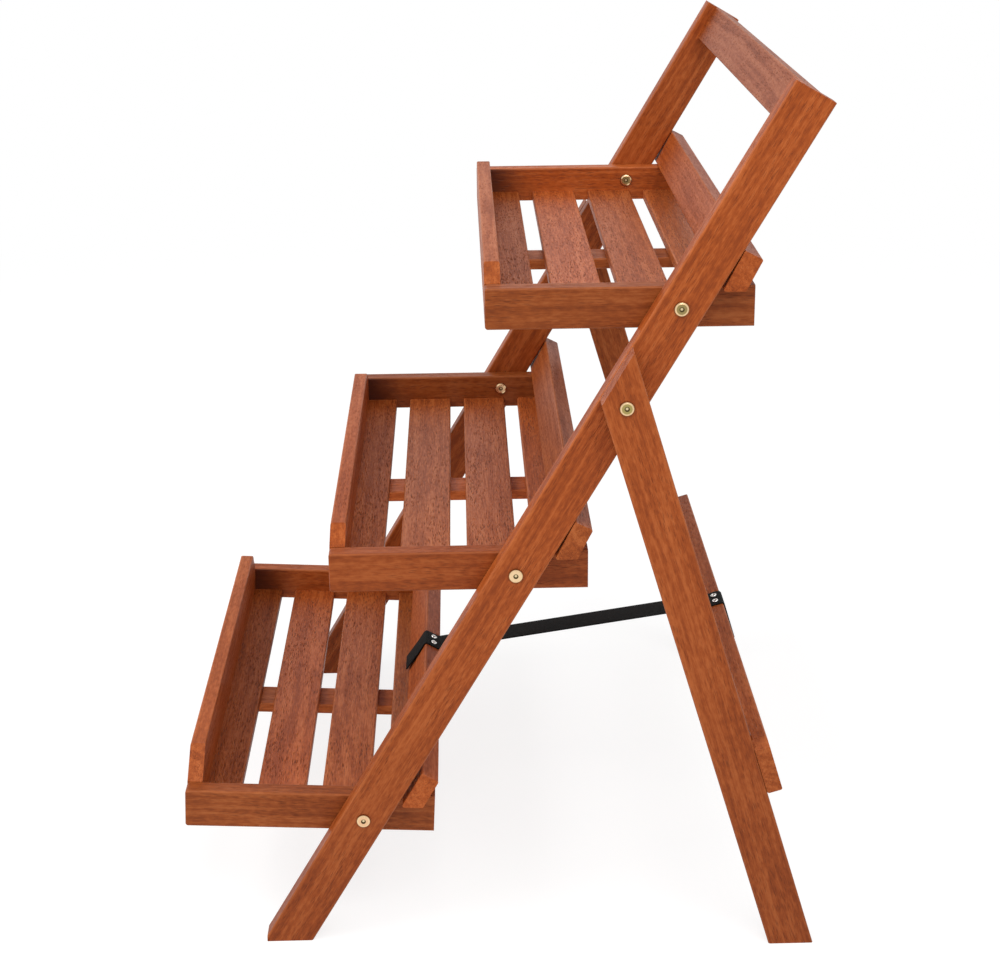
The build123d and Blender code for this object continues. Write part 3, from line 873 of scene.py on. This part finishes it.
# black webbing strap, route in Y and Z through the middle of its thickness, metres
strap = {
    "frontTail": ((-0.1028, 0.1632), (-0.0875, 0.1850), (-0.0794, 0.1980), (-0.0641, 0.1893)),
    "middle": (0.0329, 0.2039),
    "rearTail": ((0.2593, 0.2379), (0.2754, 0.2428), (0.2812, 0.2232), (0.2890, 0.1970)),
    "width": 0.0345,
    "thickness": 0.0018,
    "corner": 0.0022,
    "cornerCuts": 5,
    "edgeRadius": 0.0006,
    "edgeCuts": 3,
    "step": 0.003,
    "yarn": (0.0035, 0.0034, 0.0032),
    "rib": (0.017, 0.016, 0.015),
    "ribPitch": 0.0015,
    "cordPitch": 0.0024,
    "fuzzNoise": (420.0, 3.0, 0.6),  # scale, detail and roughness
    "fuzzRange": (0.3, 0.7),
    "rough": 0.62,
    "fuzzRough": 0.2,
    "gloss": 0.12,
    "fuzzHeight": 0.3,
    "relief": 0.0005,
    "reliefStrength": 0.8,
}


def storeFloat(tree, name, value):
    store = addNode(tree, "GeometryNodeStoreNamedAttribute", data_type="FLOAT", domain="POINT")
    store.inputs["Name"].default_value = name
    tree.links.new(value, store.inputs["Value"])
    return store


def makeStrapShaper():
    sizes = ("Width", "Thickness", "Corner", "Edge Radius", "Step")
    tree, keys, enter, leave = newShaper("webbingSweep", sizes, "Webbing")
    toCurve = addNode(tree, "GeometryNodeMeshToCurve")
    rounded = addNode(tree, "GeometryNodeFilletCurve", mode="POLY")
    rounded.inputs["Count"].default_value = strap["cornerCuts"]
    tree.links.new(enter.outputs["Corner"], rounded.inputs["Radius"])
    rounded.inputs["Limit Radius"].default_value = True
    evenly = addNode(tree, "GeometryNodeResampleCurve", mode="LENGTH")
    tree.links.new(enter.outputs["Step"], evenly.inputs["Length"])
    level = addNode(tree, "GeometryNodeSetCurveNormal", mode="Z_UP")
    along = storeFloat(tree, "along", addNode(tree, "GeometryNodeSplineParameter").outputs["Length"])
    route = chain(
        tree, enter.outputs["Geometry"],
        (toCurve, "Mesh"), (rounded, "Curve"), (evenly, "Curve"), (level, "Curve"), (along, "Geometry"),
    )
    section = addNode(tree, "GeometryNodeCurvePrimitiveQuadrilateral", mode="RECTANGLE")
    tree.links.new(enter.outputs["Width"], section.inputs["Width"])
    tree.links.new(enter.outputs["Thickness"], section.inputs["Height"])
    softened = addNode(tree, "GeometryNodeFilletCurve", mode="POLY")
    softened.inputs["Count"].default_value = strap["edgeCuts"]
    tree.links.new(enter.outputs["Edge Radius"], softened.inputs["Radius"])
    spot = axesOf(tree, addNode(tree, "GeometryNodeInputPosition").outputs[0])
    across = storeFloat(tree, "across", spot["X"])
    profile = chain(tree, section.outputs["Curve"], (softened, "Curve"), (across, "Geometry"))
    sweep = addNode(tree, "GeometryNodeCurveToMesh")
    tree.links.new(route, sweep.inputs["Curve"])
    tree.links.new(profile, sweep.inputs["Profile Curve"])
    sweep.inputs["Fill Caps"].default_value = True
    finishShaper(tree, sweep.outputs[0], enter.outputs["Webbing"], leave)
    return tree, keys


def webbingMaterial():
    material, tree, shader = newMaterial("blackWebbing")
    waves = []
    for attribute, pitch in (("along", strap["ribPitch"]), ("across", strap["cordPitch"])):
        length = addNode(tree, "ShaderNodeAttribute", attribute_name=attribute).outputs["Fac"]
        waves.append(calc(tree, "SINE", calc(tree, "MULTIPLY", length, 2 * math.pi / pitch)))
    weave = calc(tree, "MULTIPLY_ADD", calc(tree, "MULTIPLY", *waves), 0.5, 0.5)
    fuzz = noise(tree, objectPlace(tree), *strap["fuzzNoise"])
    lift = calc(tree, "MULTIPLY", weave, spread(tree, fuzz, *strap["fuzzRange"]))
    color = mixColor(tree, lift, rgba(strap["yarn"]), rgba(strap["rib"]))
    tree.links.new(color, shader.inputs["Base Color"])
    rough = calc(tree, "MULTIPLY_ADD", fuzz, strap["fuzzRough"], strap["rough"])
    tree.links.new(rough, shader.inputs["Roughness"])
    shader.inputs["Specular IOR Level"].default_value = strap["gloss"]
    height = calc(tree, "MULTIPLY_ADD", fuzz, strap["fuzzHeight"], weave)
    bump(tree, shader, height, strap["relief"], strap["reliefStrength"])
    return material


def strapPiece(name, route):
    points = [(0.0, y, z) for y, z in route]
    edges = [(number, number + 1) for number in range(len(points) - 1)]
    values = {
        "Width": strap["width"],
        "Thickness": strap["thickness"],
        "Corner": strap["corner"],
        "Edge Radius": strap["edgeRadius"],
        "Step": strap["step"],
        "Webbing": blackWebbing,
    }
    piece = shape(name, points, edges, strapShaper, values)
    return piece


strapShaper = makeStrapShaper()
blackWebbing = webbingMaterial()
frontStrap = strapPiece("strapFrontHalf", (*strap["frontTail"], strap["middle"]))
rearStrap = strapPiece("strapRearHalf", (strap["middle"], *strap["rearTail"]))
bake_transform(frontStrap)
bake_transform(rearStrap)
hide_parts("limit_strap")
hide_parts("limit_strap")
for piece in (frontStrap, rearStrap):
    print("strap:", piece.name, [round(size, 4) for size in piece.dimensions])

# floor, light and camera
studio = {
    "floorColor": (0.95, 0.95, 0.95),
    "floorSize": 30.0,
    "whiteShare": 0.69,
    "whiteGlow": 1.135,
    "whiteFrom": 1.0,  # past the shadow the floor fades to plain white
    "whiteTo": 3.0,
    "worldLight": 0.50,
    "worldSeen": 1.0,
    "lamps": {  # power, place and size
        "keySoftbox": (70.0, (0.9, -2.6, 2.8), 2.2),
        "fillSoftbox": (58.0, (1.9, 0.7, 3.1), 2.4),
    },
    "aim": (0.0, 0.0, 0.45),
}


def seenDirectly(tree):
    path = addNode(tree, "ShaderNodeLightPath")
    either = calc(tree, "MAXIMUM", path.outputs["Is Camera Ray"], path.outputs["Is Glossy Ray"])
    return calc(tree, "MAXIMUM", either, path.outputs["Is Transmission Ray"])


def floorMaterial():
    material, tree, shader = newMaterial("paleFloor")
    tree.nodes.remove(shader)
    matt = addNode(tree, "ShaderNodeBsdfDiffuse")
    matt.inputs["Color"].default_value = rgba(studio["floorColor"])
    glow = addNode(tree, "ShaderNodeEmission")
    away = vectorCalc(tree, "LENGTH", objectPlace(tree))
    ends = (away, studio["whiteFrom"], studio["whiteTo"])
    feed(tree, glow.inputs["Strength"], spread(tree, *ends, studio["whiteGlow"], 1.0))
    share = spread(tree, *ends, studio["whiteShare"], 1.0)
    mix = addNode(tree, "ShaderNodeMixShader")
    feed(tree, mix.inputs[0], calc(tree, "MULTIPLY", seenDirectly(tree), share))
    tree.links.new(matt.outputs[0], mix.inputs[1])
    tree.links.new(glow.outputs[0], mix.inputs[2])
    tree.links.new(mix.outputs[0], tree.nodes["Material Output"].inputs["Surface"])
    return material


def makeFloor():
    half = studio["floorSize"] / 2
    corners = [(-half, -half, 0), (half, -half, 0), (half, half, 0), (-half, half, 0)]
    mesh = bpy.data.meshes.new("studioFloor")
    mesh.from_pydata(corners, [], [(0, 1, 2, 3)])
    mesh.materials.append(floorMaterial())
    floor = bpy.data.objects.new("studioFloor", mesh)
    scene.collection.objects.link(floor)


def makeWorld():
    world = bpy.data.worlds.new("studioWorld")
    scene.world = world
    world.use_nodes = True
    tree = world.node_tree
    back = tree.nodes["Background"]
    strength = addNode(tree, "ShaderNodeMix", data_type="FLOAT")
    feed(tree, strength.inputs["Factor"], seenDirectly(tree))
    strength.inputs["A"].default_value = studio["worldLight"]
    strength.inputs["B"].default_value = studio["worldSeen"]
    tree.links.new(strength.outputs["Result"], back.inputs["Strength"])
    back.inputs["Color"].default_value = (1.0, 1.0, 1.0, 1.0)


def addSoftbox(name, power, place, size):
    light = bpy.data.lights.new(name, "AREA")
    light.shape = "SQUARE"
    light.energy = power
    light.size = size
    lamp = bpy.data.objects.new(name, light)
    scene.collection.objects.link(lamp)
    lamp.location = place
    lamp.rotation_euler = (Vector(studio["aim"]) - Vector(place)).to_track_quat("-Z", "Y").to_euler()


makeFloor()
makeWorld()
for name, (power, place, size) in studio["lamps"].items():
    addSoftbox(name, power, place, size)

# seen from the right, a little above the stand: place in metres, turns in degrees, lens and sensor in mm
view = {
    "at": (2.0585, -0.0314, 1.1791),
    "yaw": 1.23,
    "pitch": 17.77,
    "roll": -0.57,
    "lens": 67.77,
    "sensor": 36.0,
    "shiftY": -0.100,
}


def makeCamera():
    camera = bpy.data.cameras.new("photoCamera")
    camera.lens = view["lens"]
    camera.sensor_width = view["sensor"]
    camera.shift_y = view["shiftY"]
    rig = bpy.data.objects.new("photoCamera", camera)
    scene.collection.objects.link(rig)
    yaw, pitch, roll = (math.radians(view[key]) for key in ("yaw", "pitch", "roll"))
    ahead = Vector((-math.cos(yaw) * math.cos(pitch), math.sin(yaw) * math.cos(pitch), -math.sin(pitch)))
    right = ahead.cross(Vector((0, 0, 1))).normalized()
    up = right.cross(ahead)
    rolledRight = right * math.cos(roll) + up * math.sin(roll)
    rolledUp = up * math.cos(roll) - right * math.sin(roll)
    turn = Matrix((rolledRight, rolledUp, -ahead)).transposed().to_4x4()
    rig.matrix_world = Matrix.Translation(view["at"]) @ turn
    scene.camera = rig


makeCamera()
scene.view_settings.view_transform = "Standard"
print("studio: floor, light and camera")
